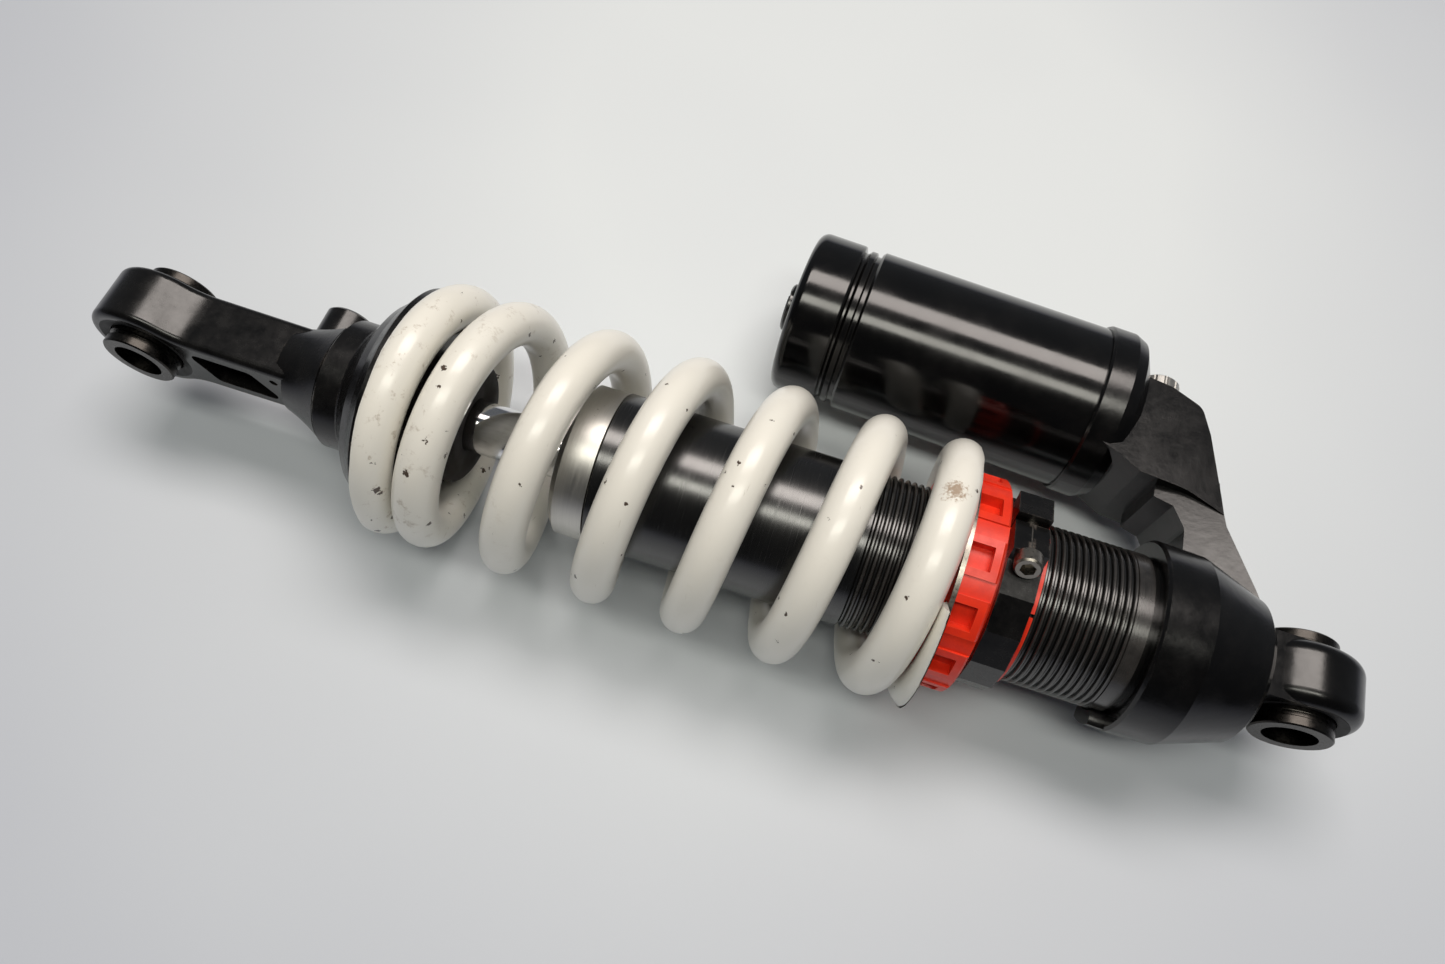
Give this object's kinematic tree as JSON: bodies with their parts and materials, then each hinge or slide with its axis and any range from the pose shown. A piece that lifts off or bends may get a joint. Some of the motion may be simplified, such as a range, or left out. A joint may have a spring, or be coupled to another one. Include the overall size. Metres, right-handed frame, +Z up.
{
  "type": "rear shock absorber",
  "caption": "Coil-over rear shock absorber with a piggyback reservoir, threaded spring preload ring, damping adjusters and a bearing eye at each end.",
  "frame": {"origin": "centre of the head eye's bore", "axes": "+X along the damper from the rod eye to the head eye, +Y along the eye bolts, towards the reservoir, +Z up as it lies on its side"},
  "size_m": [0.384, 0.1487, 0.0803],
  "materials": {
    "cast_black": "gloss black coat on a cast head",
    "arm_black": "satin black anodised, worn on edges",
    "tube_black": "black hard-anodised, bright on thread crests",
    "reservoir_black": "gloss black anodised",
    "bare_aluminium": "machined, brushed",
    "red_anodised": "bright red anodised",
    "spring_cream": "glossy cream-white powder coat",
    "rod_chrome": "hard chrome, polished",
    "bearing_steel": "ground bearing steel",
    "collar_black": "black oxide, worn",
    "plain_steel": "plain steel",
    "spring_steel": "blued shim steel",
    "bronze": "bronze bush",
    "seal_rubber": "matt black",
    "bump_foam": "matt dark brown foam rubber",
    "band_polymer": "filled PTFE"
  },
  "bodies": {
    "damper_body": {"head_casting": "cast_black", "damper_tube": "tube_black", "seal_head": "bare_aluminium", "rod_guide_bush": "bronze", "rod_seal": "seal_rubber", "rod_wiper": "seal_rubber", "seal_head_o_ring": "seal_rubber", "reservoir_tube": "reservoir_black", "reservoir_end_cap": "reservoir_black", "end_cap_o_ring": "seal_rubber", "gas_fill_plug": "tube_black", "compression_housing": "bare_aluminium", "head_bearing_race": "bearing_steel", "head_bearing_circlips": "plain_steel", "head_eye_seals": "seal_rubber", "spring": "spring_cream"},
    "rod": {"piston_rod": "rod_chrome", "main_piston": "bare_aluminium", "piston_band": "band_polymer", "compression_shims": "spring_steel", "rebound_shims": "spring_steel", "piston_nut": "plain_steel", "top_out_bumper": "seal_rubber", "top_out_plate": "plain_steel", "bump_stop": "bump_foam", "rod_clevis": "arm_black", "spring_seat": "arm_black", "rod_bearing_race": "bearing_steel", "rod_bearing_circlips": "plain_steel", "rod_eye_seals": "seal_rubber"},
    "head_bearing": {"head_bearing_ball": "bearing_steel", "head_eye_collars": "collar_black"},
    "rod_bearing": {"rod_bearing_ball": "bearing_steel", "rod_eye_collars": "collar_black"},
    "floating_piston": {"floating_piston": "bare_aluminium", "floating_piston_band": "band_polymer", "floating_piston_o_ring": "seal_rubber"},
    "thrust_washer": {"thrust_washer": "plain_steel"},
    "preload_ring": {"preload_ring": "red_anodised", "clamp_collar": "arm_black"},
    "clamp_screw": {"clamp_screw": "plain_steel"},
    "rebound_knob": {"rebound_knob": "arm_black", "rebound_cam_shaft": "plain_steel"},
    "rebound_needle": {"rebound_needle": "bare_aluminium"},
    "compression_dial": {"compression_dial": "bare_aluminium", "compression_needle": "plain_steel"}
  },
  "joints": [
    {"name": "rod_slide", "type": "slide", "parent": "damper_body", "child": "rod", "axis": [1, 0, 0], "range_m": [0, 0.04], "stiffness_N_per_m": 170000, "deforming": ["spring", "bump_stop"]},
    {"name": "floating_piston_slide", "type": "slide", "parent": "damper_body", "child": "floating_piston", "axis": [-0.9987, 0.0506, 0], "range_m": [0, 0.0043]},
    {"name": "preload_slide", "type": "slide", "parent": "damper_body", "child": "thrust_washer", "axis": [-1, 0, 0], "range_m": [-0.02, 0.01], "deforming": ["spring"]},
    {"name": "preload_turn", "type": "hinge", "parent": "thrust_washer", "child": "preload_ring", "pos_m": [-0.0974, 0, 0], "axis": [-1, 0, 0], "range_deg": [-3600, 1800]},
    {"name": "clamp_screw_turn", "type": "hinge", "parent": "preload_ring", "child": "clamp_screw", "pos_m": [-0.0859, 0.01033, 0.02494], "axis": [0, -0.9239, 0.3827], "range_deg": [-360, 360]},
    {"name": "rebound_knob_turn", "type": "hinge", "parent": "rod", "child": "rebound_knob", "pos_m": [-0.2966, 0.015, 0], "axis": [0, 1, 0], "range_deg": [0, 720]},
    {"name": "rebound_needle_slide", "type": "slide", "parent": "rod", "child": "rebound_needle", "axis": [1, 0, 0], "range_m": [0, 0.00151]},
    {"name": "compression_dial_turn", "type": "hinge", "parent": "damper_body", "child": "compression_dial", "pos_m": [-0.0455, 0.0842, -0.011], "axis": [0, 1, 0], "range_deg": [-450, 450]},
    {"name": "head_bearing_turn", "type": "hinge", "parent": "damper_body", "child": "head_bearing", "pos_m": [0, 0, 0], "axis": [0, 1, 0], "continuous": true},
    {"name": "rod_bearing_turn", "type": "hinge", "parent": "rod", "child": "rod_bearing", "pos_m": [-0.35, 0, 0], "axis": [0, 1, 0], "continuous": true}
  ],
  "couplings": [
    {"joint": "floating_piston_slide", "follows": "rod_slide", "ratio": 0.10662},
    {"joint": "preload_slide", "follows": "preload_turn", "m_per_rad": 0.00031828},
    {"joint": "rebound_needle_slide", "follows": "rebound_knob_turn", "m_per_rad": 0.00011937}
  ]
}
